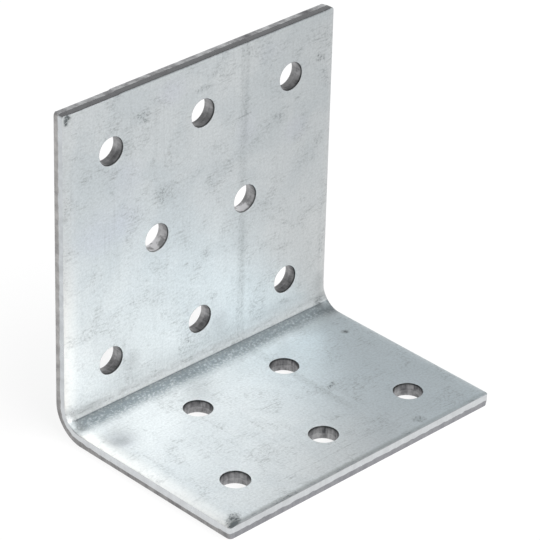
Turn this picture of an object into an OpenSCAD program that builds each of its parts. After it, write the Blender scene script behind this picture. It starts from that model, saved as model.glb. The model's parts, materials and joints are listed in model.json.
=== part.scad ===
// Corner brace bracket: a punched steel strip folded once to a right angle.
// X runs along the fold, the tall leg stands at the back and the base runs to the front.
// The origin is at the middle of the footprint, on the surface that the base lies on.

/* [Strip] */
// Width of the strip, along the fold
strip_w = 60; // [40:0.5:200]
// Thickness of the sheet
sheet_t = 2.5; // [1.5:0.1:4]
// Radius of the four corners of the strip
corner_r = 0.75; // [0.6:0.05:5]

/* [Sheared edges] */
// Radius of the rolled rim that the shear leaves on the inner side of the edges
edge_roll = 0.4; // [0.1:0.05:0.5]
// Share of the sheet, from its inner face, that is cut clean before the rest breaks away
clean_share = 0.55; // [0.35:0.05:0.8]
// How far the broken part of an edge leans back at the outer face
break_lean = 0.12; // [0.02:0.01:0.3]

/* [Fold] */
// Outside height of the leg
leg_h = 60; // [30:0.5:200]
// Outside length of the base
base_l = 42; // [30:0.5:160]
// Inside radius of the fold
bend_r = 3.5; // [1:0.1:8]
// Share of the sheet, from the inside of the fold, at which the length stays as it was in the flat
neutral_share = 0.5; // [0.3:0.01:0.5]

/* [Holes] */
// Bore of the punched holes
hole_d = 5; // [3:0.1:7]
// Radius of the rolled rim round each hole
hole_roll = 0.2; // [0.05:0.05:0.5]
// Spacing of the holes in a row, across the strip
hole_pitch = 20; // [12:0.5:40]
// Spacing of the rows along each panel
row_pitch = 19.6; // [12:0.1:40]
// Distance of the first row of the leg from its top edge
top_margin = 9.7; // [6:0.1:15]
// Distance of the first row of the base from its front edge
front_margin = 9.4; // [6:0.1:15]
// Least distance of a hole's centre from the side edges
side_margin = 8; // [6:0.5:10]
// Least flat stretch between a hole and the fold
fold_gap = 1; // [0.5:0.1:5]

/* [Hidden] */
$fn = 96;
zinc = [0.76, 0.79, 0.81];
fold_angle = 90;
// Outside radius of the fold
fold_r = bend_r + sheet_t;
// Back face of the leg, from the middle of the footprint
back_y = base_l / 2;
// Flat lengths on both sides of the fold, the length that the fold takes, and the whole flat strip
leg_flat = leg_h - fold_r;
base_flat = base_l - fold_r;
fold_len = PI * fold_angle / 180 * (bend_r + neutral_share * sheet_t);
strip_l = leg_flat + fold_len + base_flat;
// Height of the broken part of an edge, from the outer face
break_h = sheet_t * (1 - clean_share);
// Holes that fit across the strip in the first row of each panel; the next row has one less
holes_across = 1 + floor((strip_w - 2 * side_margin) / hole_pitch);
// A cutter reaches this far past the faces it cuts
past = 1;

// Rows of holes that fit on a panel between its free edge and the fold
function rows_on(flat, margin) = 1 + floor((flat - margin - hole_d / 2 - fold_gap) / row_pitch);

// Moves its children to the place that lies s along the flat strip, measured from the top edge,
// after the strip is folded. There z = 0 is the outer face and +z points to the inner face.
module on_strip(s) {
    turned = fold_angle * min(1, max(0, (s - leg_flat) / fold_len));
    up = max(0, leg_flat - s);
    out = max(0, s - leg_flat - fold_len);
    translate([
        0,
        back_y - fold_r + fold_r * cos(turned) - out,
        fold_r - fold_r * sin(turned) + up
    ])
        rotate([fold_angle - turned, 0, 0]) children();
}

// Half of a sheared section, from x = 0 to the edge, with the outer face at y = 0. The edge leans
// back where the sheet broke, stands square where it was cut and rolls over at the inner face.
module edge_section(reach) {
    polygon([
        [0, 0],
        [reach - break_lean, 0],
        [reach, break_h],
        [reach, sheet_t - edge_roll],
        [0, sheet_t - edge_roll]
    ]);
    square([reach - edge_roll, sheet_t]);
    translate([reach - edge_roll, sheet_t - edge_roll]) intersection() {
        circle(edge_roll);
        square(edge_roll);
    }
}

// The full section across the strip, standing off the axis of the fold by the fold's radius
module strip_section() {
    translate([fold_r, 0]) rotate(90) {
        edge_section(strip_w / 2);
        mirror([1, 0]) edge_section(strip_w / 2);
    }
}

// The free end of a panel: a sheared edge between two rounded corners, reaching to y = -corner_r
module strip_end() {
    straight = strip_w - 2 * corner_r;
    translate([fold_r, 0, -straight / 2])
        linear_extrude(straight) mirror([0, 1]) rotate(90) edge_section(corner_r);
    for (side = [0, 1]) mirror([0, 0, side])
        translate([fold_r, 0, straight / 2]) rotate([90, 0, -90])
            rotate_extrude(angle = 90) edge_section(corner_r);
}

// One flat panel, which leaves the fold along -y
module panel(length) {
    rotate([90, 0, 0]) linear_extrude(length - corner_r) strip_section();
    translate([0, corner_r - length, 0]) strip_end();
}

// The folded strip before punching. It is built about the axis of the fold, then set on its base.
module folded_strip() {
    translate([0, back_y - fold_r, fold_r]) rotate([0, 90, 0]) {
        panel(base_flat);
        rotate_extrude(angle = fold_angle) strip_section();
        rotate(fold_angle) mirror([0, 1, 0]) panel(leg_flat);
    }
}

// A punched hole: rolled over at the inner face, a true bore where the punch cut, and wider
// towards the outer face, where the slug broke away
module punched_hole() {
    bore_r = hole_d / 2;
    rim_r = bore_r + hole_roll;
    exit_r = bore_r + break_lean;
    rotate_extrude() difference() {
        polygon([
            [0, -past],
            [exit_r, -past],
            [exit_r, 0],
            [bore_r, break_h],
            [bore_r, sheet_t - hole_roll],
            [rim_r, sheet_t - hole_roll],
            [rim_r, sheet_t + past],
            [0, sheet_t + past]
        ]);
        translate([rim_r, sheet_t - hole_roll]) circle(hole_roll);
    }
}

// A row of holes across the middle of the strip
module hole_row(count) {
    for (i = [0 : 1 : count - 1])
        translate([(i - (count - 1) / 2) * hole_pitch, 0, 0]) punched_hole();
}

// Staggered rows on both panels, each panel's laid out from its own free edge
module hole_pattern() {
    for (i = [0 : 1 : rows_on(leg_flat, top_margin) - 1])
        on_strip(top_margin + i * row_pitch) hole_row(holes_across - i % 2);
    for (i = [0 : 1 : rows_on(base_flat, front_margin) - 1])
        on_strip(strip_l - front_margin - i * row_pitch) hole_row(holes_across - i % 2);
}

module bracket() {
    color(zinc) difference() {
        folded_strip();
        hole_pattern();
    }
}

bracket();
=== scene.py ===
"""Corner brace bracket: a punched steel strip, folded once to a right angle and bright zinc plated.

The flat blank is sheared and punched, its marks are pressed in, and it is folded last, as the real one
is made. The blank is modelled in millimetres, standing in the XZ plane with its inner face towards -Y,
and the finished bracket is scaled to metres and set in the part's own frame.
"""

import json
import logging
import math
from dataclasses import dataclass
from enum import Enum
from typing import Callable, Iterable, Sequence

import bmesh
import bpy
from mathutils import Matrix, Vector

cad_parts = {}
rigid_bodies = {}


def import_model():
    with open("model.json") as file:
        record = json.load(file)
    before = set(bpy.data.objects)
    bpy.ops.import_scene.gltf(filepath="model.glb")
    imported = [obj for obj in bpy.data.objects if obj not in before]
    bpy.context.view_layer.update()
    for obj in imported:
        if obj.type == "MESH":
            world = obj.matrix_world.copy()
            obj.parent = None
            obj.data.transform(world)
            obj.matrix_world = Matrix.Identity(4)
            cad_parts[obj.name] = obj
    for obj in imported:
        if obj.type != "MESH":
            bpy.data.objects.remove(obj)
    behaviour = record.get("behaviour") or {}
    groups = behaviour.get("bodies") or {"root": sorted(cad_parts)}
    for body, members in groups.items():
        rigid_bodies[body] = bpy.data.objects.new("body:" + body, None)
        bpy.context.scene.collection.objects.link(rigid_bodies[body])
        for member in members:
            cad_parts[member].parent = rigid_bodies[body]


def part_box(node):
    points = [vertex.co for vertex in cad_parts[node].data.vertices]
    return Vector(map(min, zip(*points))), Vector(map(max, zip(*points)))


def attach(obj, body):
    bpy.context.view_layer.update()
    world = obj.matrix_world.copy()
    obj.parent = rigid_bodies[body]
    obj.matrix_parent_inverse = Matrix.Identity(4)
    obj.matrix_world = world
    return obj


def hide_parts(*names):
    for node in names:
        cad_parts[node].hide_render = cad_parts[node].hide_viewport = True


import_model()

log = logging.getLogger("corner_brace")

# One millimetre in metres, and how close two places on a mesh are, in millimetres, to count as one
METRES = 0.001
CLOSE = 1e-3
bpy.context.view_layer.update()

Colour = tuple[float, float, float]
Socket = bpy.types.NodeSocket


class Kind(Enum):
    """The mesh elements that a selection is made of."""

    VERTEX = "VERT"
    EDGE = "EDGE"
    FACE = "FACE"


class Zone(Enum):
    """The finishes on the bracket, in the order of its material slots."""

    PLATE = 0
    EDGE_CUT = 1
    EDGE_BREAK = 2
    BORE_CUT = 3
    BORE_BREAK = 4
    TOP_CUT = 5
    TOP_BREAK = 6


def smooth(low: float, high: float, value: float) -> float:
    """Eases from 0 at low to 1 at high.

    Args:
        low: Where the ease starts.
        high: Where it ends; it may be below low.
        value: The place that is asked for.

    Returns:
        A number from 0 to 1.
    """
    t = min(1.0, max(0.0, (value - low) / (high - low)))
    return t * t * (3 - 2 * t)


def deselect() -> None:
    """Leaves no object selected, because operators act on all that is."""
    for thing in bpy.context.view_layer.objects:
        thing.select_set(False)


def only(thing: bpy.types.Object) -> None:
    """Makes one object the selected and active one.

    Args:
        thing: The object to work on.
    """
    deselect()
    thing.select_set(True)
    bpy.context.view_layer.objects.active = thing


def pick(thing: bpy.types.Object, kind: Kind, test: Callable[[Vector, Vector], bool]) -> int:
    """Selects elements of a mesh in edit mode by their place.

    Args:
        thing: The object in edit mode.
        kind: What to select.
        test: Says for the lowest and highest corner of an element whether it is selected.

    Returns:
        How many elements are selected.
    """
    bpy.ops.mesh.select_mode(type=kind.value)
    bpy.ops.mesh.select_all(action="DESELECT")
    mesh = bmesh.from_edit_mesh(thing.data)
    parts = {Kind.VERTEX: mesh.verts, Kind.EDGE: mesh.edges, Kind.FACE: mesh.faces}[kind]
    count = 0
    for part in parts:
        points = [part.co] if kind is Kind.VERTEX else [v.co for v in part.verts]
        low = Vector([min(p[i] for p in points) for i in range(3)])
        high = Vector([max(p[i] for p in points) for i in range(3)])
        if test(low, high):
            part.select_set(True)
            count += 1
    mesh.select_flush_mode()
    bmesh.update_edit_mesh(thing.data)
    return count


def score(axis: int, places: Iterable[float]) -> None:
    """Cuts lines right round the mesh in edit mode, square to one axis.

    Args:
        axis: 0, 1 or 2 for X, Y or Z.
        places: Where along that axis the lines are.
    """
    normal = [0.0, 0.0, 0.0]
    normal[axis] = 1.0
    for place in places:
        bpy.ops.mesh.select_all(action="SELECT")
        bpy.ops.mesh.bisect(
            plane_co=[place * n for n in normal], plane_no=normal, threshold=1e-4
        )


def press(
    thing: bpy.types.Object,
    name: str,
    direction: str,
    depth: float,
    weight: Callable[[Vector], float],
    texture: bpy.types.Texture | None = None,
) -> None:
    """Moves the surface with a Displace modifier, as far as a weight says at each vertex.

    Args:
        thing: The object, in object mode.
        name: Plain name of the mark.
        direction: X, Y, Z or NORMAL.
        depth: How far the surface moves where the weight is 1.
        weight: Gives the weight at a place on the mesh.
        texture: Makes the mark irregular, about its middle level.
    """
    group = thing.vertex_groups.new(name=name)
    for vertex in thing.data.vertices:
        share = weight(vertex.co)
        if share > 0.0005:
            group.add([vertex.index], min(1.0, share), "REPLACE")
    only(thing)
    bpy.ops.object.modifier_add(type="DISPLACE")
    mark = thing.modifiers[-1]
    mark.name = name
    mark.vertex_group = group.name
    mark.direction = direction
    mark.strength = depth
    mark.mid_level = 0.0
    if texture is not None:
        mark.texture = texture
        mark.texture_coords = "LOCAL"
        mark.mid_level = 0.5
    bpy.ops.object.modifier_apply(modifier=mark.name)


def clouds(name: str, size: float, depth: int) -> bpy.types.Texture:
    """Makes the texture of an irregular mark.

    Args:
        name: Plain name of the texture.
        size: Size of its clouds in millimetres.
        depth: How many finer layers they have.

    Returns:
        The texture, for press.
    """
    texture = bpy.data.textures.new(name, "CLOUDS")
    texture.noise_scale = size
    texture.noise_depth = depth
    return texture


@dataclass
class Blank:
    """The sheared flat strip, standing in the XZ plane. Sizes are in millimetres.

    Attributes:
        width: Width of the strip.
        leg_h: Outside height of the leg.
        base_l: Outside length of the base.
        thick: Thickness of the sheet.
        corner_r: Radius of the four corners.
        corner_steps: Faces round a corner.
        bend_r: Inside radius of the fold.
        fold_steps: Rows of faces round the fold.
        clean_share: Share of the sheet that is cut clean, from the inner face.
        break_lean: How far the broken part of a wall leans back.
        break_rows: Rows of faces on the broken part.
        rim_r: Radius of the crisp rim round the inner face.
        roll_w: Width of the roll-over along the inner face's sides.
        roll_depth: Depth of the roll-over at the rim.
        end_share: Share of that depth at the top edge; the front edge has twice as much.
        edge_step: Length of the faces along a wall.
        top_band: Faces this close to the top edge belong to it.
        step_x: The top edge is lower to the left of this place.
        step_w: Width of the slope between both heights.
        step_drop: How much lower it is.
        deep_cut: How much deeper the clean cut reaches along the base's left side.
        ragged: How uneven the line above the broken part is.
        torn: How uneven the broken part is.
    """

    width: float
    leg_h: float
    base_l: float
    thick: float = 2.5
    corner_r: float = 0.75
    corner_steps: int = 8
    bend_r: float = 3.5
    fold_steps: int = 32
    clean_share: float = 0.55
    break_lean: float = 0.12
    break_rows: int = 4
    rim_r: float = 0.035
    roll_w: float = 2.2
    roll_depth: float = 0.36
    end_share: float = 0.12
    edge_step: float = 0.35
    top_band: float = 0.3
    step_x: float = -18.1
    step_w: float = 0.25
    step_drop: float = 0.13
    deep_cut: float = 0.24
    ragged: float = 0.42
    torn: float = 0.09

    @property
    def fold_len(self) -> float:
        """Length of the fold along the middle of the sheet."""
        return math.pi / 2 * (self.bend_r + self.thick / 2)

    @property
    def leg_flat(self) -> float:
        """Flat length of the leg, which is also the height of the blank's top edge."""
        return self.leg_h - self.bend_r - self.thick

    @property
    def foot(self) -> float:
        """Height of the blank's lower edge, which becomes the front of the base."""
        return -self.fold_len - (self.base_l - self.bend_r - self.thick)

    @property
    def inner(self) -> float:
        """Y of the inner face."""
        return -self.thick / 2

    @property
    def outer(self) -> float:
        """Y of the outer face."""
        return self.thick / 2

    @property
    def break_line(self) -> float:
        """Y of the line between the clean cut and the broken part of an edge."""
        return self.inner + self.clean_share * self.thick

    def on_top(self, place: Vector) -> bool:
        """Whether a place of a wall is on the top edge."""
        return place.z > self.leg_flat - self.top_band

    def edge_distance(self, place: Vector) -> tuple[float, float]:
        """Measures how far a place is from the strip's edges.

        Args:
            place: A place on the flat strip.

        Returns:
            Its distances from the nearer side and from the nearer end.
        """
        side = self.width / 2 - abs(place.x)
        end = min(self.leg_flat - place.z, place.z - self.foot)
        return side, end

    def build(self) -> bpy.types.Object:
        """Shears the blank: rounded corners, a clean cut, a broken part that leans back, and a rim.

        Returns:
            The closed blank, with lines cut where it will be rolled over and folded.
        """
        deselect()
        height = self.leg_flat - self.foot
        middle = (self.leg_flat + self.foot) / 2
        bpy.ops.mesh.primitive_cube_add(size=1, location=(0, 0, middle))
        strip = bpy.context.active_object
        strip.name = "bracket_plate"
        strip.scale = (self.width, self.thick, height)
        bpy.ops.object.transform_apply(location=True, rotation=True, scale=True)
        bpy.ops.object.mode_set(mode="EDIT")
        pick(strip, Kind.EDGE, lambda low, high: high.y - low.y > self.thick / 2)
        bpy.ops.mesh.bevel(
            offset=self.corner_r, segments=self.corner_steps, profile=0.5, affect="EDGES"
        )
        score(1, [self.break_line])
        pick(strip, Kind.VERTEX, lambda low, high: high.y > self.outer - CLOSE)
        lean = 2 * self.break_lean
        bpy.ops.transform.resize(
            value=((self.width - lean) / self.width, 1, (height - lean) / height),
            center_override=(0, self.outer, middle),
        )
        rise = (self.outer - self.break_line) / self.break_rows
        score(1, [self.break_line + rise * i for i in range(1, self.break_rows)])
        pick(strip, Kind.EDGE, lambda low, high: high.y < self.inner + CLOSE)
        bpy.ops.mesh.bevel(offset=self.rim_r, segments=2, profile=0.5, affect="EDGES")
        self.divide_walls(strip)
        self.score_faces()
        bpy.ops.object.mode_set(mode="OBJECT")
        return strip

    def divide_walls(self, strip: bpy.types.Object) -> None:
        """Divides the walls finely, so that the broken part can be uneven along them.

        Args:
            strip: The blank, in edit mode.
        """
        pick(strip, Kind.FACE, lambda low, high: high.y - low.y < CLOSE)
        bpy.ops.mesh.hide(unselected=False)
        reach = self.width / 2 - self.corner_r
        columns = round(2 * reach / self.edge_step)
        score(0, [reach * (2 * i / columns - 1) for i in range(1, columns)])
        low, high = self.foot + self.corner_r, self.leg_flat - self.corner_r
        rows = round((high - low) / self.edge_step)
        score(2, [low + (high - low) * i / rows for i in range(1, rows)])
        bpy.ops.mesh.reveal(select=False)

    def score_faces(self) -> None:
        """Cuts the lines along which the rims are rolled over and the strip is folded."""
        rim_steps = [0.25, 0.45, 0.7, 1.05, 1.55, self.roll_w]
        sides = [side * (self.width / 2 - step) for step in rim_steps for side in (-1, 1)]
        score(0, sides + [self.step_x, self.step_x - self.step_w])
        score(2, [self.leg_flat - step for step in rim_steps] + [self.foot + step for step in rim_steps])
        fold = [-self.fold_len * i / self.fold_steps for i in range(self.fold_steps + 1)]
        beside = [0.3, 0.8, 1.6]
        score(2, fold + beside + [-self.fold_len - step for step in beside])

    def roll(self, place: Vector) -> float:
        """Says how deep the roll-over is.

        Args:
            place: A place on the flat strip.

        Returns:
            Share of the roll-over's depth; it is 0 off the inner face.
        """
        if place.y > self.inner + self.rim_r + 0.05:
            return 0.0
        side, end = [max(0.0, 1 - away / self.roll_w) ** 2 for away in self.edge_distance(place)]
        end_share = self.end_share if place.z > 0 else 2 * self.end_share
        return min(1.0, side + end_share * end)

    def stepped(self, place: Vector) -> float:
        """Says where the top edge is lower.

        Args:
            place: A place on the flat strip.

        Returns:
            Share of the step.
        """
        if place.z <= self.leg_flat - 0.15:
            return 0.0
        return smooth(self.step_x, self.step_x - self.step_w, place.x)

    def deeper(self, place: Vector) -> float:
        """Says where the clean cut reaches deeper: along the base's left side.

        Args:
            place: A place on the flat strip.

        Returns:
            Share of the extra depth.
        """
        if abs(place.y - self.break_line) > 0.02 or place.x > 0.2 - self.width / 2:
            return 0.0
        past_fold = smooth(-self.fold_len, -self.fold_len - 6, place.z)
        return past_fold * smooth(self.foot, self.foot + 4, place.z)

    def on_break_line(self, place: Vector) -> float:
        """Says where the line above the broken part is ragged: all round, but less on the top edge.

        Args:
            place: A place on the flat strip.

        Returns:
            Share of the unevenness.
        """
        if not -0.02 < place.y - self.break_line < 0.22:
            return 0.0
        return 0.4 if self.on_top(place) else 1.0

    def on_broken_part(self, place: Vector) -> float:
        """Says where the wall is torn: 1 on the broken part, short of its borders, and 0 elsewhere."""
        return 1.0 if self.break_line + 0.15 < place.y < self.outer - 0.02 else 0.0

    def finish_edges(self, strip: bpy.types.Object) -> None:
        """Rolls the inner rims over, steps the cut on the top edge and roughens the broken parts.

        Args:
            strip: The punched blank, still flat.
        """
        press(strip, "edge_roll", "Y", self.roll_depth, self.roll)
        press(strip, "shear_step", "Z", -self.step_drop, self.stepped)
        press(strip, "deep_cut", "Y", self.deep_cut, self.deeper)
        coarse = clouds("ragged_break", 1.1, 2)
        press(strip, "break_line", "Y", self.ragged, self.on_break_line, coarse)
        fine = clouds("torn_break", 0.3, 1)
        press(strip, "torn_part", "NORMAL", self.torn, self.on_broken_part, fine)


@dataclass
class Punch:
    """One punched hole, modelled once and copied to every place. Sizes are in millimetres.

    Attributes:
        blank: The strip that is punched.
        bore: Width of the hole where it is cut clean.
        roll_w: How much wider it is at the inner face.
        roll_depth: How deep that rolled rim reaches.
        roll_steps: Rows of faces on the rim.
        steps: Faces round the hole.
        pitch: Spacing of the holes in a row.
        row_pitch: Spacing of the rows.
        across: Holes in each panel's first row; the next row has one less.
        leg_rows: Rows on the leg.
        base_rows: Rows on the base.
        top_margin: From the top edge to the leg's first row.
        front_margin: From the front edge to the base's first row.
        past: How far the punch reaches past both faces.
    """

    blank: Blank
    bore: float = 5.0
    roll_w: float = 0.14
    roll_depth: float = 0.12
    roll_steps: int = 6
    steps: int = 96
    pitch: float = 20.0
    row_pitch: float = 19.6
    across: int = 3
    leg_rows: int = 3
    base_rows: int = 2
    top_margin: float = 9.7
    front_margin: float = 9.4
    past: float = 1.0

    def places(self) -> list[tuple[float, float]]:
        """Centres of the holes on the flat strip, each panel's rows counted from its own free edge.

        Returns:
            Pairs of x and z.
        """
        top = self.blank.leg_flat - self.top_margin
        front = self.blank.foot + self.front_margin
        rows = [(top - i * self.row_pitch, self.across - i % 2) for i in range(self.leg_rows)]
        rows += [(front + i * self.row_pitch, self.across - i % 2) for i in range(self.base_rows)]
        return [((i - (count - 1) / 2) * self.pitch, z) for z, count in rows for i in range(count)]

    def distance(self, place: Vector) -> float:
        """Distance of a place from the nearest hole's axis."""
        return min(math.hypot(place.x - x, place.z - z) for x, z in self.places())

    def profile(self) -> list[tuple[float, float]]:
        """Draws the hole's section, from the outer side to the inner side.

        Returns:
            Pairs of radius and Y.
        """
        blank = self.blank
        radius = self.bore / 2
        section = [(radius + blank.break_lean, blank.outer + self.past)]
        for i in range(blank.break_rows + 1):
            share = 1 - i / blank.break_rows
            height = (blank.outer - blank.break_line) * share
            section.append((radius + blank.break_lean * share, blank.break_line + height))
        for i in range(self.roll_steps + 1):
            turn = math.pi / 2 * i / self.roll_steps
            rim = radius + self.roll_w * (1 - math.cos(turn))
            section.append((rim, blank.inner + self.roll_depth * (1 - math.sin(turn))))
        section.append((radius + self.roll_w, blank.inner - self.past))
        return section

    def cutter(self) -> bpy.types.Object:
        """Spins the hole's section into a closed cutter at the origin.

        Returns:
            The cutter, with its axis along Y.
        """
        deselect()
        bpy.ops.mesh.primitive_plane_add(size=1)
        tool = bpy.context.active_object
        tool.name = "hole_punch"
        bpy.ops.object.mode_set(mode="EDIT")
        bpy.ops.mesh.select_mode(type=Kind.VERTEX.value)
        bpy.ops.mesh.select_all(action="SELECT")
        bpy.ops.mesh.merge(type="CENTER")
        section = self.profile()
        start = (section[0][0], section[0][1], 0.0)
        bpy.ops.transform.translate(value=start)
        for (r0, y0), (r1, y1) in zip(section, section[1:]):
            bpy.ops.mesh.extrude_vertices_move(
                TRANSFORM_OT_translate={"value": (r1 - r0, y1 - y0, 0.0)}
            )
        bpy.ops.mesh.select_all(action="SELECT")
        bpy.ops.mesh.spin(
            steps=self.steps, angle=2 * math.pi, center=(0, 0, 0), axis=(0, 1, 0), use_auto_merge=True
        )
        bpy.ops.mesh.select_all(action="SELECT")
        bpy.ops.mesh.remove_doubles(threshold=CLOSE)
        for y in (section[0][1], section[-1][1]):
            pick(tool, Kind.EDGE, lambda low, high: abs(low.y - y) + abs(high.y - y) < CLOSE)
            bpy.ops.mesh.edge_face_add()
        bpy.ops.mesh.select_all(action="SELECT")
        bpy.ops.mesh.normals_make_consistent(inside=False)
        bpy.ops.object.mode_set(mode="OBJECT")
        return tool

    def punch(self, strip: bpy.types.Object) -> int:
        """Punches every hole through the flat strip.

        Args:
            strip: The sheared blank.

        Returns:
            How many holes were punched.
        """
        first = self.cutter()
        tools = [first]
        places = self.places()
        for _ in places[1:]:
            copy = first.copy()
            copy.data = first.data.copy()
            bpy.context.scene.collection.objects.link(copy)
            tools.append(copy)
        for tool, (x, z) in zip(tools, places):
            tool.location = (x, 0.0, z)
        only(first)
        for tool in tools:
            tool.select_set(True)
        bpy.ops.object.transform_apply(location=True, rotation=True, scale=True)
        bpy.ops.object.join()
        only(strip)
        bpy.ops.object.modifier_add(type="BOOLEAN")
        cut = strip.modifiers[-1]
        cut.operation = "DIFFERENCE"
        cut.solver = "EXACT"
        cut.object = first
        bpy.ops.object.modifier_apply(modifier=cut.name)
        bpy.data.objects.remove(first)
        return len(places)


@dataclass
class Fold:
    """The right-angle fold and the marks that the press leaves in it. Sizes are in millimetres.

    Attributes:
        blank: The strip that is folded.
        crease_depth: Depth of the V-shaped crease.
        crease_reach: How far below the inner face it moves the sheet.
        line_depth: Depth of the thin line in the crease.
        line_w: Half the line's width.
        line_reach: How far below the inner face it moves the sheet.
        fade_from: Both marks end this far from the sides.
        fade_to: They are full this far from the sides.
        bulge: How far the sheet swells at the fold's ends.
        bulge_reach: How far the swell reaches in from the sides.
        bulge_past: How far it reaches past the fold, as a share of the fold's length.
    """

    blank: Blank
    crease_depth: float = 0.56
    crease_reach: float = 0.3
    line_depth: float = 0.05
    line_w: float = 0.26
    line_reach: float = 0.6
    fade_from: float = 0.35
    fade_to: float = 2.6
    bulge: float = 0.12
    bulge_reach: float = 1.4
    bulge_past: float = 0.35

    def turn(self, place: Vector) -> float:
        """Where a place is in the fold, from 0 at the leg to 1 at the base."""
        return -place.z / self.blank.fold_len

    def along(self, place: Vector) -> float:
        """Fades a mark out towards both ends of the fold."""
        return smooth(self.fade_from, self.fade_to, self.blank.edge_distance(place)[0])

    def crease(self, place: Vector) -> float:
        """Says how deep the crease is: both panels run on into a sharp line in the middle of the fold.

        Args:
            place: A place on the flat strip.

        Returns:
            Share of the crease's depth.
        """
        turn = self.turn(place)
        if place.y > self.blank.inner + self.crease_reach or not 0 < turn < 1:
            return 0.0
        return (1 - abs(turn - 0.5) / 0.5) ** 2 * self.along(place)

    def line(self, place: Vector) -> float:
        """Says how deep the thin line along the middle of the crease is.

        Args:
            place: A place on the flat strip.

        Returns:
            Share of the line's depth.
        """
        if place.y > self.blank.inner + self.line_reach:
            return 0.0
        away = abs(self.turn(place) - 0.5) * self.blank.fold_len
        return max(0.0, 1 - away / self.line_w) * self.along(place)

    def swell(self, place: Vector) -> float:
        """Says how far the squeezed inner side of the sheet swells at the two ends of the fold.

        Args:
            place: A place on the flat strip.

        Returns:
            Share of the bulge.
        """
        turn = self.turn(place)
        if not -self.bulge_past < turn < 1 + self.bulge_past:
            return 0.0
        depth = smooth(self.blank.outer * 0.4, self.blank.inner, place.y)
        reach = smooth(self.bulge_reach, 0.0, self.blank.edge_distance(place)[0])
        spread = math.cos((turn - 0.5) / (1 + 2 * self.bulge_past) * math.pi) ** 2
        return spread * depth * reach

    def fold(self, strip: bpy.types.Object) -> None:
        """Presses the marks and folds the strip about the X axis.

        Args:
            strip: The punched blank with finished edges.
        """
        press(strip, "crease", "Y", self.crease_depth, self.crease)
        press(strip, "crease_line", "Y", self.line_depth, self.line)
        for side, sign in (("left", -1), ("right", 1)):
            press(
                strip,
                f"swell_{side}",
                "X",
                sign * self.bulge,
                lambda p, sign=sign: self.swell(p) if p.x * sign > 0 else 0.0,
            )
        only(strip)
        bpy.ops.object.modifier_add(type="SIMPLE_DEFORM")
        bend = strip.modifiers[-1]
        bend.deform_method = "BEND"
        bend.deform_axis = "X"
        bend.angle = -math.pi / 2
        low = min(v.co.z for v in strip.data.vertices)
        high = max(v.co.z for v in strip.data.vertices)
        bend.limits = ((-self.blank.fold_len - low) / (high - low), -low / (high - low))
        bpy.ops.object.modifier_apply(modifier=bend.name)


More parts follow.
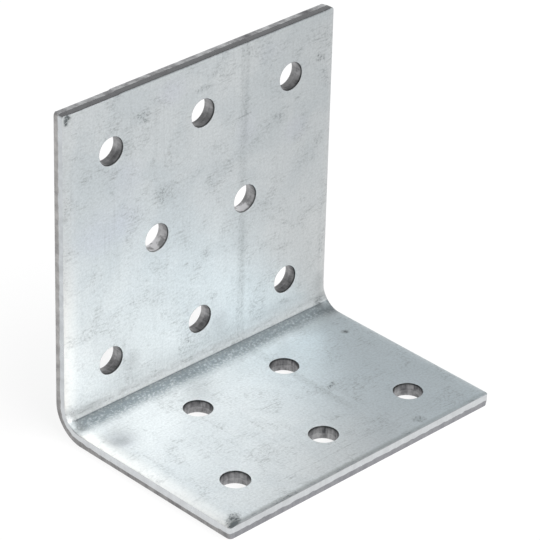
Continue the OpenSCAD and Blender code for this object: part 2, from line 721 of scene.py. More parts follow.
class Nodes:
    """Builds a node tree with few words. A value may be a socket, a number or a colour."""

    def __init__(self, tree: bpy.types.NodeTree) -> None:
        """Starts on an empty tree.

        Args:
            tree: The tree to fill.
        """
        self.tree = tree
        tree.nodes.clear()

    def add(self, kind: str, **settings: object) -> bpy.types.Node:
        """Adds a node.

        Args:
            kind: Its type.
            settings: Its properties, by name.

        Returns:
            The new node.
        """
        node = self.tree.nodes.new(kind)
        for name, value in settings.items():
            setattr(node, name, value)
        return node

    def feed(self, socket: Socket, value: object) -> None:
        """Links an input to another node's output, or gives it a value.

        Args:
            socket: The input.
            value: A socket or a plain value.
        """
        if isinstance(value, bpy.types.NodeSocket):
            self.tree.links.new(value, socket)
        else:
            socket.default_value = value

    def fill(self, kind: str, values: Iterable[object], **settings: object) -> bpy.types.Node:
        """Adds a node and feeds its inputs in their order.

        Args:
            kind: Its type.
            values: What goes into the inputs.
            settings: Its properties, by name.

        Returns:
            The new node.
        """
        node = self.add(kind, **settings)
        for socket, value in zip(node.inputs, values):
            self.feed(socket, value)
        return node

    def math(self, operation: str, *values: object) -> Socket:
        """The result of a Math node."""
        return self.fill("ShaderNodeMath", values, operation=operation).outputs[0]

    def measure(self, operation: str, *values: object) -> Socket:
        """The number that comes out of a Vector Math node, such as a length or a dot product."""
        return self.fill("ShaderNodeVectorMath", values, operation=operation).outputs["Value"]

    def scaled(
        self, place: Socket, scale: Sequence[float], offset: Sequence[float] = (0, 0, 0)
    ) -> Socket:
        """A place times a scale for each axis, moved by an offset."""
        values = (place, tuple(scale), tuple(offset))
        return self.fill("ShaderNodeVectorMath", values, operation="MULTIPLY_ADD").outputs[0]

    def moved(self, place: Socket, offset: Sequence[float]) -> Socket:
        """A place moved by an offset."""
        return self.scaled(place, (1, 1, 1), offset)

    def vector(self, *numbers: object) -> Socket:
        """A vector of up to three numbers; the others are 0."""
        return self.fill("ShaderNodeCombineXYZ", numbers).outputs[0]

    def parts(self, place: Socket) -> tuple[Socket, ...]:
        """The three numbers of a vector."""
        return tuple(self.fill("ShaderNodeSeparateXYZ", [place]).outputs)

    def noise(
        self, place: Socket, size: float, detail: float = 2.0, rough: float = 0.5, warp: float = 0.0
    ) -> Socket:
        """Adds noise.

        Args:
            place: Where it is read, in millimetres.
            size: About how wide its features are.
            detail: How many finer layers it has.
            rough: How strong those are.
            warp: How distorted it is.

        Returns:
            A number about 0.5.
        """
        node = self.add("ShaderNodeTexNoise")
        self.feed(node.inputs["Vector"], place)
        numbers = {"Scale": 1.0 / size, "Detail": detail, "Roughness": rough, "Distortion": warp}
        for name, number in numbers.items():
            self.feed(node.inputs[name], number)
        return node.outputs["Fac"]

    def ease(
        self, value: Socket, low: float, high: float, start: float = 0.0, end: float = 1.0
    ) -> Socket:
        """Eases from start to end while a value goes from low to high.

        Args:
            value: The value.
            low: Where the ease starts.
            high: Where it ends; it may be below low.
            start: The result at low.
            end: The result at high.

        Returns:
            The eased number.
        """
        node = self.add("ShaderNodeMapRange", interpolation_type="SMOOTHSTEP")
        self.feed(node.inputs["Value"], value)
        for name, number in (("From Min", low), ("From Max", high), ("To Min", start), ("To Max", end)):
            self.feed(node.inputs[name], number)
        return node.outputs["Result"]

    def band(self, value: Socket, start: float, full: float, still: float, end: float) -> Socket:
        """A mask that eases in from start to full and out from still to end."""
        return self.product(self.ease(value, start, full), self.ease(value, still, end, 1.0, 0.0))

    def mix(self, share: object, first: object, second: object) -> Socket:
        """Mixes two colours.

        Args:
            share: Share of the second.
            first: A socket or a Colour.
            second: A socket or a Colour.

        Returns:
            The mixed colour.
        """
        node = self.add("ShaderNodeMix", data_type="RGBA")
        self.feed(node.inputs["Factor"], share)
        colours = [s for s in node.inputs if s.type == "RGBA"]
        for socket, value in zip(colours, (first, second)):
            self.feed(socket, (*value, 1.0) if isinstance(value, tuple) else value)
        return next(s for s in node.outputs if s.type == "RGBA")

    def chain(self, operation: str, values: Sequence[object]) -> Socket:
        """Joins several values into one, two at a time.

        Args:
            operation: What a Math node does with each two.
            values: Sockets or numbers.

        Returns:
            The result.
        """
        result = values[0]
        for value in values[1:]:
            result = self.math(operation, result, value)
        return result

    def largest(self, values: Sequence[object]) -> Socket:
        """The largest of several masks."""
        return self.chain("MAXIMUM", values)

    def total(self, values: Sequence[object]) -> Socket:
        """The sum of several masks."""
        return self.chain("ADD", values)

    def product(self, *values: object) -> Socket:
        """The product of sockets or numbers."""
        return self.chain("MULTIPLY", values)

    def metal(self, colour: Socket, rough: Socket, height: Socket, depth: float) -> None:
        """Finishes the material of a metal surface.

        Args:
            colour: Its colour.
            rough: Its roughness.
            height: The height of its fine unevenness, from 0 to 1.
            depth: How deep that is, in metres.
        """
        shader = self.add("ShaderNodeBsdfPrincipled")
        shader.inputs["Metallic"].default_value = 1.0
        self.feed(shader.inputs["Base Color"], colour)
        self.feed(shader.inputs["Roughness"], rough)
        bump = self.add("ShaderNodeBump")
        bump.inputs["Strength"].default_value = 0.6
        bump.inputs["Distance"].default_value = depth
        self.feed(bump.inputs["Height"], height)
        self.feed(shader.inputs["Normal"], bump.outputs[0])
        out = self.add("ShaderNodeOutputMaterial")
        self.feed(out.inputs["Surface"], shader.outputs[0])


def new_material(name: str) -> tuple[bpy.types.Material, Nodes]:
    """Makes a material.

    Args:
        name: Its name.

    Returns:
        The material and its empty node tree.
    """
    material = bpy.data.materials.new(name)
    material.use_nodes = True
    return material, Nodes(material.node_tree)


@dataclass(frozen=True)
class StripSpace:
    """Coordinates that follow the strip round the fold, in millimetres, from Object coordinates.

    X runs across the strip. Y runs along it: it is 0 where the leg meets the fold, negative on the leg
    and positive on the base. Z is the depth below the inner face.

    Attributes:
        bend_r: Inside radius of the fold.
        axis_y: Y of the fold's axis in the part's frame.
        axis_z: Z of the fold's axis in the part's frame.
    """

    bend_r: float
    axis_y: float
    axis_z: float

    def place(self, nodes: Nodes) -> Socket:
        """Adds the nodes that work the place out.

        Args:
            nodes: The material's nodes.

        Returns:
            A vector socket.
        """
        coords = nodes.add("ShaderNodeTexCoord").outputs["Object"]
        x, y, z = nodes.parts(nodes.scaled(coords, [1 / METRES] * 3))
        back = nodes.math("SUBTRACT", y, self.axis_y)
        below = nodes.math("SUBTRACT", self.axis_z, z)
        back_part = nodes.math("MAXIMUM", back, 0.0)
        below_part = nodes.math("MAXIMUM", below, 0.0)
        radius = nodes.measure("LENGTH", nodes.vector(back_part, below_part))
        depth = nodes.math("SUBTRACT", radius, self.bend_r)
        arc = nodes.product(nodes.math("ARCTAN2", below_part, back_part), self.bend_r)
        ahead = nodes.math("MAXIMUM", nodes.product(back, -1.0), 0.0)
        above = nodes.math("MAXIMUM", nodes.product(below, -1.0), 0.0)
        along = nodes.math("SUBTRACT", nodes.math("ADD", arc, ahead), above)
        return nodes.vector(x, along, depth)


@dataclass(frozen=True)
class Smudge:
    """A soft mark at a place of the strip, in millimetres.

    Attributes:
        x: Its place across the strip.
        y: Its place along the strip.
        long: Half its length.
        wide: Half its width.
        turn: How far it is turned, in degrees.
        dark: How strong it is in the middle.
        deep: How far it reaches into the sheet.
    """

    x: float
    y: float
    long: float
    wide: float
    turn: float
    dark: float
    deep: float = 1.5

    def mask(self, nodes: Nodes, place: Socket) -> Socket:
        """Adds the nodes of the mark.

        Args:
            nodes: The material's nodes.
            place: A place of the strip.

        Returns:
            How strong the mark is there.
        """
        node = nodes.add("ShaderNodeMapping", vector_type="TEXTURE")
        nodes.feed(node.inputs["Vector"], place)
        node.inputs["Location"].default_value = (self.x, self.y, 0)
        node.inputs["Rotation"].default_value = (0, 0, math.radians(self.turn))
        node.inputs["Scale"].default_value = (self.long, self.wide, self.deep)
        away = nodes.measure("LENGTH", node.outputs[0])
        return nodes.ease(away, 1.0, 0.15, 0.0, self.dark)


def masks(marks: Iterable[Smudge], nodes: Nodes, place: Socket) -> list[Socket]:
    """The masks of several marks at a place of the strip."""
    return [mark.mask(nodes, place) for mark in marks]


@dataclass(frozen=True)
class ZincPlate:
    """Bright zinc on the rolled faces: semi-gloss, cool grey, mottled, streaked and stained, with painted
    light and shade.

    Places are those of the strip: X across, Y from the leg's end of the fold, in millimetres.

    Attributes:
        cool: Colour of the plating's darker clouds.
        pale: Colour of its lighter clouds.
        lilac: Colour of the tinted patches.
        neutral: Colour of the leg's lower half.
        light: Colour of the painted light that lifts the base.
        cold: Colour to the right of the base.
        worn_rim_sheen: Colour of the worn rims, paler with a painted highlight.
        crease: Colour of the grainy band in the fold, darkened as painted shade.
        dark: Colour of dirt and of painted shade.
        roughness: Roughness of clean plating.
        streak_x: Where a grey streak runs down the leg.
        stains_and_fold_shade: Grainy stain marks, and grainy painted shade at both ends of the fold.
        soft_stains_and_shade: Soft, even stain marks, and painted shade by the fold and at its two ends.
        tints: Soft patches where the plating has a lilac tint.
        scuffs: Thin lines that were scuffed into the plating.
    """

    cool: Colour = (0.656, 0.694, 0.712)
    pale: Colour = (0.712, 0.742, 0.754)
    lilac: Colour = (0.667, 0.693, 0.75)
    neutral: Colour = (0.725, 0.735, 0.728)
    light: Colour = (0.9, 0.91, 0.91)
    cold: Colour = (0.615, 0.704, 0.75)
    worn_rim_sheen: Colour = (0.738, 0.728, 0.708)
    crease: Colour = (0.19, 0.222, 0.238)
    dark: Colour = (0.15, 0.165, 0.17)
    roughness: float = 0.46
    streak_x: float = 9.4
    stains_and_fold_shade: tuple[Smudge, ...] = (
        Smudge(-29.3, -52.9, 0.6, 1.4, 10, 1.0),
        Smudge(-28.8, -53.3, 0.8, 0.4, 35, 0.8),
        Smudge(-13.2, -48.4, 2.6, 0.9, 12, 0.4),
        Smudge(-12.6, -47.2, 1.2, 0.5, 25, 0.4),
        Smudge(0.2, -48.8, 3.0, 0.8, 0, 0.4),
        Smudge(2.3, -50.6, 1.2, 0.9, -30, 0.35),
        Smudge(26.8, -45.7, 1.5, 1.2, 10, 0.5),
        Smudge(17.5, -37.5, 3.0, 1.6, 20, 0.22),
        Smudge(-11.0, -39.0, 0.7, 1.3, 0, 0.35),
        Smudge(-8.3, -32.3, 4.2, 2.2, 22, 0.34),
        Smudge(-6.4, -33.6, 2.0, 0.8, 10, 0.35),
        Smudge(27.0, -30.0, 1.8, 2.2, 0, 0.3),
        Smudge(1.0, -17.6, 1.8, 1.3, 20, 0.45),
        Smudge(-3.4, -17.0, 0.8, 0.5, 0, 0.55),
        Smudge(24.0, -19.5, 1.0, 0.9, 0, 0.2),
        Smudge(19.0, -12.0, 4.0, 0.9, 5, 0.22),
        Smudge(-25.5, -11.5, 2.6, 1.2, 0, 0.22),
        Smudge(3.2, -8.3, 1.2, 0.8, -30, 0.3),
        Smudge(-2.6, -2.0, 1.6, 1.0, 20, 0.25),
        Smudge(20.0, -0.8, 1.8, 0.8, 10, 0.5),
        # Grainy painted shade at both ends of the fold
        Smudge(-28.7, 2.8, 1.8, 2.8, 0, 0.3),
        Smudge(28.0, 2.4, 2.2, 1.6, 0, 0.16),
        Smudge(25.7, 11.5, 1.0, 0.8, 20, 1.0),
        Smudge(11.6, 22.2, 2.1, 0.8, -20, 0.75),
        Smudge(-11.3, 19.0, 1.6, 2.2, 0, 0.22),
        Smudge(-28.1, 40.2, 2.9, 1.5, -35, 1.0),
        Smudge(15.0, 39.4, 1.6, 1.4, 20, 0.6),
        Smudge(-26.4, 22.0, 1.2, 4.5, 0, 0.2),
    )
    soft_stains_and_shade: tuple[Smudge, ...] = (
        Smudge(-29.2, -53.0, 0.8, 1.6, 10, 0.3),
        Smudge(-25.6, 10.8, 4.6, 3.8, 20, 0.18),
        Smudge(-26.4, 11.6, 2.4, 2.2, 20, 0.2),
        # Painted shade above the crease, at both ends of the fold and on the base next to it
        Smudge(-25.0, 1.9, 5.0, 1.5, 0, 0.22),
        Smudge(28.6, -1.2, 2.4, 3.4, 0, 0.2),
        Smudge(29.0, 2.9, 2.6, 3.0, 0, 0.46),
        Smudge(-29.0, 2.6, 1.8, 2.8, 0, 0.16),
        Smudge(22.5, 6.0, 6.0, 4.5, 0, 0.24),
        Smudge(-28.4, 4.3, 2.0, 1.4, 0, 0.3),
        Smudge(9.6, -17.0, 2.4, 6.0, 0, 0.07),
        Smudge(-15.3, -3.2, 2.6, 3.0, 0, 0.12),
        Smudge(4.6, -2.8, 2.8, 3.0, 0, 0.1),
        Smudge(25.7, 11.5, 1.1, 0.9, 20, 0.3),
        Smudge(-28.4, 40.4, 2.8, 1.5, -35, 0.4),
        Smudge(15.2, 39.8, 1.8, 1.4, 20, 0.12),
    )
    tints: tuple[Smudge, ...] = (
        Smudge(-21.0, -30.5, 10.0, 6.5, 0, 0.75),
        Smudge(-17.0, -38.0, 5.5, 5.0, 0, 0.5),
        Smudge(-7.0, -50.5, 4.5, 3.6, 0, 0.55),
        Smudge(15.5, -50.5, 4.5, 2.6, 0, 0.45),
        Smudge(21.5, -34.0, 4.2, 3.6, 0, 0.5),
        Smudge(10.0, -38.0, 3.6, 5.0, 0, 0.35),
        Smudge(0.0, -4.0, 9.0, 3.0, 0, 0.25),
        Smudge(-26.0, 11.5, 4.0, 3.6, 0, 0.7),
    )
    scuffs: tuple[Smudge, ...] = (
        Smudge(8.0, -40.5, 4.0, 0.14, 0, 0.35),
        Smudge(-15.0, -29.0, 3.5, 0.12, 1, 0.3),
        Smudge(-20.5, -27.9, 4.0, 0.12, -3, 0.2),
        Smudge(9.5, -28.3, 4.5, 0.14, 3, 0.35),
        Smudge(0.0, 37.2, 29.0, 0.16, 0, 0.3),
        Smudge(-2.0, 35.8, 20.0, 0.12, 0.5, 0.12),
        Smudge(-11.5, 19.0, 0.13, 6.5, 0, 0.25),
        Smudge(28.2, 19.0, 0.14, 17.0, 0, 0.16),
        Smudge(-12.5, 14.8, 3.0, 0.14, -8, 0.2),
        Smudge(-2.5, 14.5, 2.5, 0.14, 0, 0.16),
    )

    def tone(self, nodes: Nodes, place: Socket) -> Socket:
        """The plating's colour, in soft clouds with a tint here and there, with painted shade by the fold
        and up the leg and painted light on the base.

        Args:
            nodes: The material's nodes.
            place: A place of the strip.

        Returns:
            The colour there.
        """
        x, y = nodes.parts(place)[:2]
        cloud = nodes.noise(place, 12.0, 3.0, 0.55, 0.6)
        colour = nodes.mix(nodes.ease(cloud, 0.38, 0.62), self.cool, self.pale)
        tint = nodes.noise(nodes.scaled(place, (1, 0.7, 1), (31, 7, 0)), 11.0, 2.0, 0.5, 0.4)
        patches = nodes.total(masks(self.tints, nodes, place))
        patches = nodes.product(patches, nodes.ease(tint, 0.3, 0.58, 0.35, 1.0))
        colour = nodes.mix(patches, colour, self.lilac)
        plain = nodes.product(nodes.ease(y, -32.0, -8.0), nodes.ease(y, 1.0, 6.0, 0.45, 0.15))
        colour = nodes.mix(plain, colour, self.neutral)
        # It darkens towards the right and more on the leg's right; painted shade darkens the base next to
        # the fold and the upper leg
        colour = nodes.mix(nodes.ease(x, -30.0, 30.0, 0.0, 0.07), colour, self.dark)
        right = nodes.product(nodes.ease(x, 2.0, 27.5), nodes.ease(y, 6.0, 0.0), 0.12)
        near = nodes.product(nodes.band(y, 5.0, 6.5, 7.5, 13.0), nodes.ease(x, -42.0, 12.0), 0.2)
        top = nodes.ease(y, -14.0, -34.0, 0.0, 0.08)
        colour = nodes.mix(nodes.total([right, near, top]), colour, self.dark)
        # Painted light makes the base lighter; it is also colder on its right
        colour = nodes.mix(nodes.ease(y, 5.0, 8.0, 0.0, 0.18), colour, self.light)
        cold_share = nodes.product(nodes.ease(x, -8.0, 22.0), nodes.ease(y, 2.0, 9.0), 0.75)
        return nodes.mix(cold_share, colour, self.cold)

    def worn_rim_sheen_mask(self, nodes: Nodes, place: Socket) -> Socket:
        """Mask of the worn rims at the sides and their painted highlight, palest on the left, below the
        middle of the leg.

        Args:
            nodes: The material's nodes.
            place: A place of the strip.

        Returns:
            How rubbed it is there, from 0 to 1.
        """
        x, y = nodes.parts(place)[:2]
        left = nodes.product(nodes.ease(x, -26.4, -30.0), nodes.ease(y, -34.0, -14.0, 0.1, 1.0))
        rim = nodes.math("ADD", left, nodes.ease(x, 28.4, 29.6, 0.0, 0.12))
        in_fold = nodes.band(y, -0.5, 1.5, 5.0, 7.0)
        return nodes.math("SUBTRACT", rim, nodes.product(rim, in_fold, 0.85))

    def lines(self, nodes: Nodes, place: Socket, hair: Socket) -> list[Socket]:
        """Painted shade: a darker band above the crease, a dark line in it, and dark lines along the
        strip's two ends.

        Args:
            nodes: The material's nodes.
            place: A place of the strip.
            hair: Mask of fine hairlines.

        Returns:
            The masks of the lines.
        """
        x, y = nodes.parts(place)[:2]
        # Painted shade above the crease, and a painted dark line in it
        above = nodes.band(y, 0.7, 1.8, 2.4, 2.8)
        above = nodes.product(above, nodes.math("MULTIPLY_ADD", hair, 0.14, 0.14))
        ends = nodes.ease(nodes.math("ABSOLUTE", x), 29.6, 27.4, 0.1, 1.0)
        crease_shade_line = nodes.product(nodes.band(y, 2.45, 2.78, 2.95, 3.7), ends, 0.4)
        # Painted shade lines along the front and top ends
        front = nodes.product(nodes.band(y, 40.3, 41.2, 41.5, 41.7), nodes.ease(x, 30.0, 0.0, 0.25, 0.5))
        top = nodes.ease(y, -53.7, -53.95, 0.0, 0.5)
        return [above, crease_shade_line, nodes.math("ADD", front, top)]

    def grime_and_shade(self, nodes: Nodes, place: Socket) -> Socket:
        """Specks, streaks, stain marks and scuffs, with painted shade by the crease, along the two ends
        and by the fold.

        Args:
            nodes: The material's nodes.
            place: A place of the strip.

        Returns:
            How dark they are there, from 0 to 1.
        """
        x, y = nodes.parts(place)[:2]
        grain = nodes.ease(nodes.noise(place, 0.5, 3.0, 0.75), 0.46, 0.66)
        hair = nodes.noise(nodes.scaled(place, (0.16, 1, 1), (9, 3, 0)), 0.36, 3.0, 0.7)
        hair = nodes.ease(hair, 0.5, 0.68)
        patch = nodes.noise(nodes.moved(place, (5, 50, 0)), 6.0, 4.0, 0.65, 0.8)
        patch = nodes.ease(patch, 0.46, 0.68)
        rolled = nodes.noise(nodes.scaled(place, (1, 0.05, 1)), 0.9, 3.0, 0.6)
        aside = nodes.math("ABSOLUTE", nodes.math("SUBTRACT", x, self.streak_x))
        streak = nodes.product(nodes.ease(aside, 1.4, 0.3), nodes.ease(y, 32.0, 26.0))
        streak = nodes.product(streak, nodes.ease(rolled, 0.2, 0.6, 0.4, 1.0))
        stained = nodes.total(masks(self.stains_and_fold_shade, nodes, place))
        spots = [
            nodes.product(stained, nodes.math("MULTIPLY_ADD", grain, 1.1, 0.25)),
            nodes.product(patch, grain, 0.22),
            nodes.product(patch, hair, 0.26),
            nodes.product(patch, 0.03),
            nodes.product(grain, 0.07),
            nodes.product(hair, 0.07),
            nodes.product(streak, nodes.math("MULTIPLY_ADD", grain, 0.14, 0.1)),
            nodes.product(nodes.ease(rolled, 0.5, 0.75), 0.06),
        ]
        # The lines are painted shade
        rough_spots = nodes.total(spots + self.lines(nodes, place, hair))
        scuffed = nodes.total(masks(self.scuffs, nodes, place))
        scuffed = nodes.product(scuffed, nodes.math("MULTIPLY_ADD", grain, 0.8, 0.35))
        # Soft stain marks, and painted shade by the fold
        soft = nodes.total(masks(self.soft_stains_and_shade, nodes, place))
        return nodes.math("MINIMUM", nodes.total([rough_spots, scuffed, soft]), 1.0)

    def folded(self, nodes: Nodes, place: Socket) -> Socket:
        """Mask of the grainy blue-grey band on the base's side of the crease, darkened as painted shade.

        Args:
            nodes: The material's nodes.
            place: A place of the strip.

        Returns:
            Share of the band's colour there.
        """
        x, y, z = nodes.parts(place)
        ends = nodes.ease(x, -29.7, -27.6, 0.72, 1.0)
        mottle = nodes.noise(nodes.scaled(place, (0.7, 1, 1)), 0.36, 2.0, 0.6)
        drift = nodes.noise(nodes.scaled(place, (1, 0.2, 1), (3, 0, 0)), 5.0, 2.0, 0.5)
        wander = [nodes.math("MULTIPLY_ADD", noise, 1.2, -0.6) for noise in (mottle, drift)]
        edge = nodes.total([y, *wander])
        inside = nodes.ease(z, 1.6, 1.2)
        sparkle = nodes.ease(mottle, 0.45, 0.72, 1.0, 0.66)
        return nodes.product(nodes.ease(y, 2.55, 2.75), nodes.ease(edge, 6.9, 3.7), inside, sparkle, ends)

    def material(self, space: StripSpace) -> bpy.types.Material:
        """Builds the material.

        Args:
            space: The strip's coordinates.

        Returns:
            The finished material.
        """
        material, nodes = new_material("zinc_plate")
        place = space.place(nodes)
        grime_and_shade = self.grime_and_shade(nodes, place)
        rolled = self.worn_rim_sheen_mask(nodes, place)
        # The crease band: grainy plating darkened with painted shade
        colour = nodes.mix(self.folded(nodes, place), self.tone(nodes, place), self.crease)
        # Worn rims, paler with a painted highlight that is strongest on the left
        colour = nodes.mix(nodes.product(rolled, 0.85), colour, self.worn_rim_sheen)
        grains = nodes.ease(nodes.noise(place, 0.4, 2.0, 0.7), 0.3, 0.7, 0.0, 0.16)
        grains = nodes.product(grains, nodes.math("MULTIPLY_ADD", rolled, -0.8, 1.0))
        colour = nodes.mix(grains, colour, self.dark)
        # Dirt, with painted shade by the crease, along the ends and by the fold
        colour = nodes.mix(grime_and_shade, colour, self.dark)
        uneven = nodes.noise(nodes.moved(place, (70, 20, 0)), 9.0, 3.0, 0.6)
        rough = nodes.math("MULTIPLY_ADD", uneven, 0.1, self.roughness - 0.05)
        rough = nodes.math("MULTIPLY_ADD", rolled, -0.1, rough)
        rough = nodes.math("MULTIPLY_ADD", grime_and_shade, 0.2, rough)
        nodes.metal(colour, rough, nodes.noise(place, 0.45, 4.0, 0.65), 0.00002)
        return material


@dataclass(frozen=True)
class CutSteel:
    """A sheared or punched wall under thin plating, with streaks along the tool's stroke.

    Attributes:
        name: The material's name.
        colour: The wall's own colour.
        shade: Colour of its blotches and streaks.
        roughness: Its roughness.
        streak: How strong the streaks are on the base.
        streak_size: How wide they are, in millimetres.
        rim_w: Width of the painted shade along the rim at the inner face.
        rim_shade: How dark that painted shade is.
        rim_shade_colour: The painted shade's colour.
        base_reflection_share: How far painted reflection shifts the wall's colour on the base.
        base_reflection: The colour of that painted reflection.
        front_reflection_share: How far painted reflection shifts the wall's colour on the front edge.
        front_reflection: The colour of that painted reflection.
        polished_sheen: Where the wall is burnished and has a painted highlight.
        bright: The colour of that painted highlight.
        stained: Where the wall has the shade's colour.
    """

    name: str
    colour: Colour
    shade: Colour
    roughness: float
    streak: float
    streak_size: float = 0.35
    rim_w: float = 0.3
    rim_shade: float = 0.0
    rim_shade_colour: Colour = (0.03, 0.034, 0.034)
    base_reflection_share: float = 0.0
    base_reflection: Colour = (0.8, 0.8, 0.8)
    front_reflection_share: float = 0.0
    front_reflection: Colour = (0.33, 0.34, 0.375)
    polished_sheen: tuple[Smudge, ...] = ()
    bright: Colour = (0.96, 0.96, 0.98)
    stained: tuple[Smudge, ...] = ()

    def tone(self, nodes: Nodes, place: Socket, lines: Socket, blotch: Socket) -> Socket:
        """The wall's colour, with painted reflection on the base and on the front edge.

        Args:
            nodes: The material's nodes.
            place: A place of the strip.
            lines: Noise that is drawn out along the tool's stroke.
            blotch: Coarser noise.

        Returns:
            The colour there.
        """
        y = nodes.parts(place)[1]
        streaks = nodes.product(nodes.ease(lines, 0.35, 0.7), nodes.ease(y, -6.0, 3.0, 0.5, 1.0))
        streaks = nodes.product(streaks, self.streak)
        share = nodes.math("ADD", streaks, nodes.ease(blotch, 0.3, 0.7, 0.0, 0.6))
        colour = nodes.mix(nodes.math("MINIMUM", share, 1.0), self.colour, self.shade)
        # Painted reflection: on the base and on the front edge the wall takes on what it mirrors
        if self.base_reflection_share:
            base = nodes.ease(y, -12.0, 8.0, 0.0, self.base_reflection_share)
            colour = nodes.mix(base, colour, self.base_reflection)
        if self.front_reflection_share:
            front = nodes.ease(y, 41.0, 41.3, 0.0, self.front_reflection_share)
            colour = nodes.mix(front, colour, self.front_reflection)
        return colour

    def marked(self, nodes: Nodes, place: Socket, blotch: Socket, colour: Socket) -> Socket:
        """Adds the burnished parts with their painted highlight, the painted shade along the rim, and the
        stained parts of the wall.

        Args:
            nodes: The material's nodes.
            place: A place of the strip.
            blotch: Noise that breaks the marks up.
            colour: The wall's own colour.

        Returns:
            The colour with its marks.
        """
        # Burnished patches with a painted highlight
        if self.polished_sheen:
            shine = nodes.ease(nodes.largest(masks(self.polished_sheen, nodes, place)), 0.0, 0.6)
            shine = nodes.product(shine, nodes.ease(blotch, 0.62, 0.46, 0.3, 1.0))
            colour = nodes.mix(shine, colour, self.bright)
        # Painted shade along the rim at the inner face
        if self.rim_shade:
            z = nodes.parts(place)[2]
            rim = nodes.ease(z, 1.5 * self.rim_w, 0.5 * self.rim_w, 0.0, self.rim_shade)
            colour = nodes.mix(rim, colour, self.rim_shade_colour)
        if self.stained:
            stain = nodes.largest(masks(self.stained, nodes, place))
            stain = nodes.product(stain, nodes.ease(blotch, 0.3, 0.55, 0.3, 1.0))
            colour = nodes.mix(stain, colour, self.shade)
        return colour

    def material(self, space: StripSpace) -> bpy.types.Material:
        """Builds the material.

        Args:
            space: The strip's coordinates.

        Returns:
            The finished material.
        """
        material, nodes = new_material(self.name)
        place = space.place(nodes)
        lines = nodes.noise(nodes.scaled(place, (1, 1, 0.12)), self.streak_size, 3.0, 0.6)
        blotch = nodes.noise(place, 1.6, 3.0, 0.6)
        colour = self.marked(nodes, place, blotch, self.tone(nodes, place, lines, blotch))
        rough = nodes.math("MULTIPLY_ADD", blotch, 0.16, self.roughness - 0.08)
        nodes.metal(colour, rough, lines, 0.00003)
        return material


# Burnished bore walls, painted with a highlight
BORE_SHEEN = (
    Smudge(-11.2, -22.3, 5.4, 4.7, 0, 1.0, 9.0),
    Smudge(8.8, -22.5, 4.9, 4.4, 0, 0.9, 9.0),
)
TOP_STAINS = (
    Smudge(11.2, -54.0, 1.5, 2.0, 0, 1.0, 9.0),
    Smudge(25.0, -54.0, 2.0, 2.0, 0, 1.0, 9.0),
    Smudge(-19.0, -54.0, 1.6, 2.0, 0, 0.7, 9.0),
)
FINISHES: dict[Zone, ZincPlate | CutSteel] = {
    Zone.PLATE: ZincPlate(),
    Zone.EDGE_CUT: CutSteel(
        "edge_clean_cut",
        colour=(0.6, 0.63, 0.65),
        shade=(0.46, 0.48, 0.5),
        roughness=0.3,
        streak=0.25,
        rim_w=0.2,
        rim_shade=0.6,
        base_reflection_share=0.3,
    ),
    Zone.EDGE_BREAK: CutSteel(
        "edge_broken",
        colour=(0.5, 0.492, 0.487),
        shade=(0.26, 0.255, 0.255),
        roughness=0.5,
        streak=0.4,
        base_reflection_share=0.3,
        base_reflection=(0.1, 0.1, 0.11),
        front_reflection_share=0.5,
    ),
    Zone.BORE_CUT: CutSteel(
        "bore_clean_cut",
        colour=(0.34, 0.34, 0.346),
        shade=(0.078, 0.08, 0.085),
        roughness=0.34,
        streak=0.5,
        rim_shade=0.8,
        polished_sheen=BORE_SHEEN,
    ),
    Zone.BORE_BREAK: CutSteel(
        "bore_broken",
        colour=(0.43, 0.43, 0.436),
        shade=(0.155, 0.156, 0.161),
        roughness=0.45,
        streak=0.4,
        rim_shade=0.8,
        polished_sheen=BORE_SHEEN,
    ),
    Zone.TOP_CUT: CutSteel(
        "top_clean_cut",
        colour=(0.3, 0.305, 0.315),
        shade=(0.22, 0.22, 0.23),
        roughness=0.26,
        streak=0.4,
        rim_w=0.2,
        rim_shade=0.6,
    ),
    Zone.TOP_BREAK: CutSteel(
        "top_broken",
        colour=(0.66, 0.67, 0.68),
        shade=(0.2, 0.2, 0.21),
        roughness=0.6,
        streak=0.35,
        stained=TOP_STAINS,
    ),
}


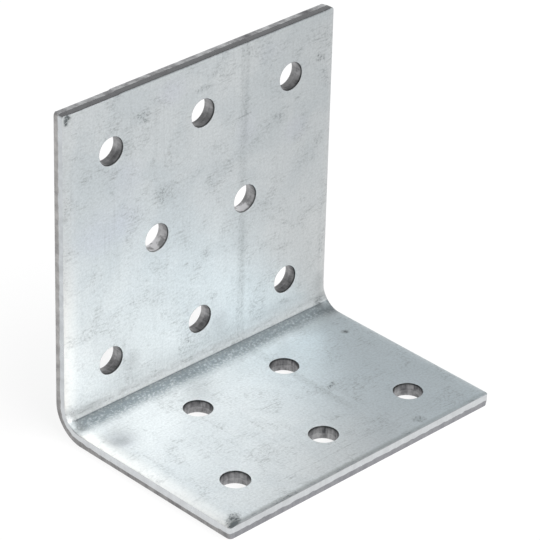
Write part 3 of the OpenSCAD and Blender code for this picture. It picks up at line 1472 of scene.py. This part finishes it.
@dataclass
class Bracket:
    """The whole bracket: blank, holes, fold and finishes.

    Attributes:
        blank: The strip it is made from.
        flat_edge: A face is plated where this share of its normal points through the sheet.
        flat_bore: The same round the holes.
        bore_rim: Faces this close round a hole's rim, in millimetres, belong to the hole.
        smooth_angle: Edges sharper than this, in degrees, stay crisp.
    """

    blank: Blank
    flat_edge: float = 0.6
    flat_bore: float = 0.93
    bore_rim: float = 0.1
    smooth_angle: float = 28.0

    @property
    def space(self) -> StripSpace:
        """The strip's coordinates once it is folded and set down."""
        fold_r = self.blank.bend_r + self.blank.thick
        return StripSpace(self.blank.bend_r, self.blank.base_l / 2 - fold_r, fold_r)

    def build(self) -> bpy.types.Object:
        """Makes the bracket and sets it in the part's frame.

        Returns:
            The finished piece.
        """
        strip = self.blank.build()
        punch = Punch(self.blank)
        holes = punch.punch(strip)
        self.sort_faces(strip, punch)
        self.blank.finish_edges(strip)
        Fold(self.blank).fold(strip)
        self.set_down(strip)
        log.info("bracket: %d holes, %d faces", holes, len(strip.data.polygons))
        return strip

    def sort_faces(self, strip: bpy.types.Object, punch: Punch) -> None:
        """Gives each face of the flat strip the slot of its finish.

        Args:
            strip: The punched blank.
            punch: Says where the holes are.
        """
        for zone in Zone:
            strip.data.materials.append(FINISHES[zone].material(self.space))
        for face in strip.data.polygons:
            face.material_index = self.zone(face, punch).value

    def zone(self, face: bpy.types.MeshPolygon, punch: Punch) -> Zone:
        """Says which finish a face of the flat strip has.

        Args:
            face: The face.
            punch: Says where the holes are.

        Returns:
            The face's zone.
        """
        broken = face.center.y > self.blank.break_line
        bored = punch.distance(face.center) < punch.bore / 2 + punch.roll_w + self.bore_rim
        if abs(face.normal.y) > (self.flat_bore if bored else self.flat_edge):
            return Zone.PLATE
        if bored:
            return Zone.BORE_BREAK if broken else Zone.BORE_CUT
        if self.blank.on_top(face.center):
            return Zone.TOP_BREAK if broken else Zone.TOP_CUT
        return Zone.EDGE_BREAK if broken else Zone.EDGE_CUT

    def set_down(self, strip: bpy.types.Object) -> None:
        """Scales the folded strip to metres, sets it on its base and smooths its shading.

        Args:
            strip: The folded strip in millimetres, with the origin where its leg meets the fold.
        """
        only(strip)
        blank = self.blank
        strip.location = (0.0, blank.base_l / 2 - blank.thick / 2, blank.bend_r + blank.thick)
        bpy.ops.object.transform_apply(location=True, rotation=True, scale=True)
        strip.scale = (METRES, METRES, METRES)
        bpy.ops.object.transform_apply(location=True, rotation=True, scale=True)
        strip.vertex_groups.clear()
        bpy.ops.object.shade_smooth_by_angle(angle=math.radians(self.smooth_angle))
        bpy.ops.object.modifier_add(type="WEIGHTED_NORMAL")
        weighted = strip.modifiers[-1]
        weighted.keep_sharp = True
        weighted.weight = 50
        bpy.ops.object.modifier_apply(modifier=weighted.name)


@dataclass
class Studio:
    """Pale floor, soft light and the camera. Sizes are in metres.

    Attributes:
        camera_place: Where the camera stands.
        camera_turn: How it is turned, in degrees.
        lens: Its focal length in millimetres.
        sensor_w: Its sensor's width in millimetres.
        floor_size: Width of the floor.
        white_share: Share of pure white in the floor, where it is seen.
        front: Where the broad light stands, as a direction.
        front_light: Its strength.
        ceiling: Strength of the light from above; at eye level it is 1.
    """

    camera_place: tuple[float, float, float] = (-0.32916, -0.3302, 0.30027)
    camera_turn: tuple[float, float, float] = (59.7711, -1.3791, -43.9325)
    lens: float = 220.74
    sensor_w: float = 36.0
    floor_size: float = 8.0
    white_share: float = 0.85
    front: tuple[float, float, float] = (0.33, -0.70, 0.63)
    front_light: float = 4.8
    ceiling: float = 0.66

    def camera(self) -> None:
        """Sets the camera where the photograph was taken from."""
        data = bpy.data.cameras.new("camera")
        data.lens = self.lens
        data.sensor_width = self.sensor_w
        data.clip_start = 0.01
        data.clip_end = 50.0
        eye = bpy.data.objects.new("camera", data)
        eye.location = self.camera_place
        eye.rotation_euler = [math.radians(a) for a in self.camera_turn]
        bpy.context.scene.collection.objects.link(eye)
        bpy.context.scene.camera = eye

    def floor(self) -> None:
        """A wide pale floor that looks white, also in the metal, and keeps the bracket's shadow."""
        deselect()
        bpy.ops.mesh.primitive_plane_add(size=self.floor_size)
        ground = bpy.context.active_object
        ground.name = "floor"
        material, nodes = new_material("floor")
        matt = nodes.add("ShaderNodeBsdfDiffuse")
        matt.inputs["Color"].default_value = (1, 1, 1, 1)
        glow = nodes.add("ShaderNodeEmission")
        path = nodes.add("ShaderNodeLightPath")
        rays = ("Is Camera Ray", "Is Glossy Ray", "Is Transmission Ray")
        seen = nodes.largest([path.outputs[ray] for ray in rays])
        shares = (nodes.product(seen, self.white_share), matt.outputs[0], glow.outputs[0])
        mix = nodes.fill("ShaderNodeMixShader", shares)
        out = nodes.add("ShaderNodeOutputMaterial")
        nodes.feed(out.inputs["Surface"], mix.outputs[0])
        ground.data.materials.append(material)

    def light(self) -> None:
        """A studio with a dim ceiling and one broad soft light in front, all of it in the world."""
        world = bpy.data.worlds.new("studio")
        bpy.context.scene.world = world
        world.use_nodes = True
        nodes = Nodes(world.node_tree)
        ray = nodes.add("ShaderNodeTexCoord").outputs["Generated"]
        up = nodes.parts(ray)[2]
        ceiling = nodes.ease(up, 0.05, 0.4, 1.0, self.ceiling)
        toward = nodes.measure("DOT_PRODUCT", ray, tuple(Vector(self.front).normalized()))
        box = nodes.ease(toward, 0.66, 0.88, 0.0, self.front_light)
        box = nodes.product(box, nodes.ease(up, 0.26, 0.48))
        back = nodes.add("ShaderNodeBackground")
        nodes.feed(back.inputs["Strength"], nodes.largest([ceiling, box]))
        out = nodes.add("ShaderNodeOutputWorld")
        nodes.feed(out.inputs["Surface"], back.outputs[0])


def main() -> None:
    """Builds the bracket, dresses it and sets up the studio."""
    logging.basicConfig(level=logging.INFO, format="%(name)s: %(message)s")
    low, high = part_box("bracket")
    size = (high - low) / METRES
    bracket = Bracket(Blank(width=size.x, leg_h=size.z, base_l=size.y)).build()
    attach(bracket, "root")
    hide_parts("bracket")
    studio = Studio()
    studio.camera()
    studio.floor()
    studio.light()
    bpy.context.scene.view_settings.view_transform = "Standard"


if __name__ == "__main__":
    main()
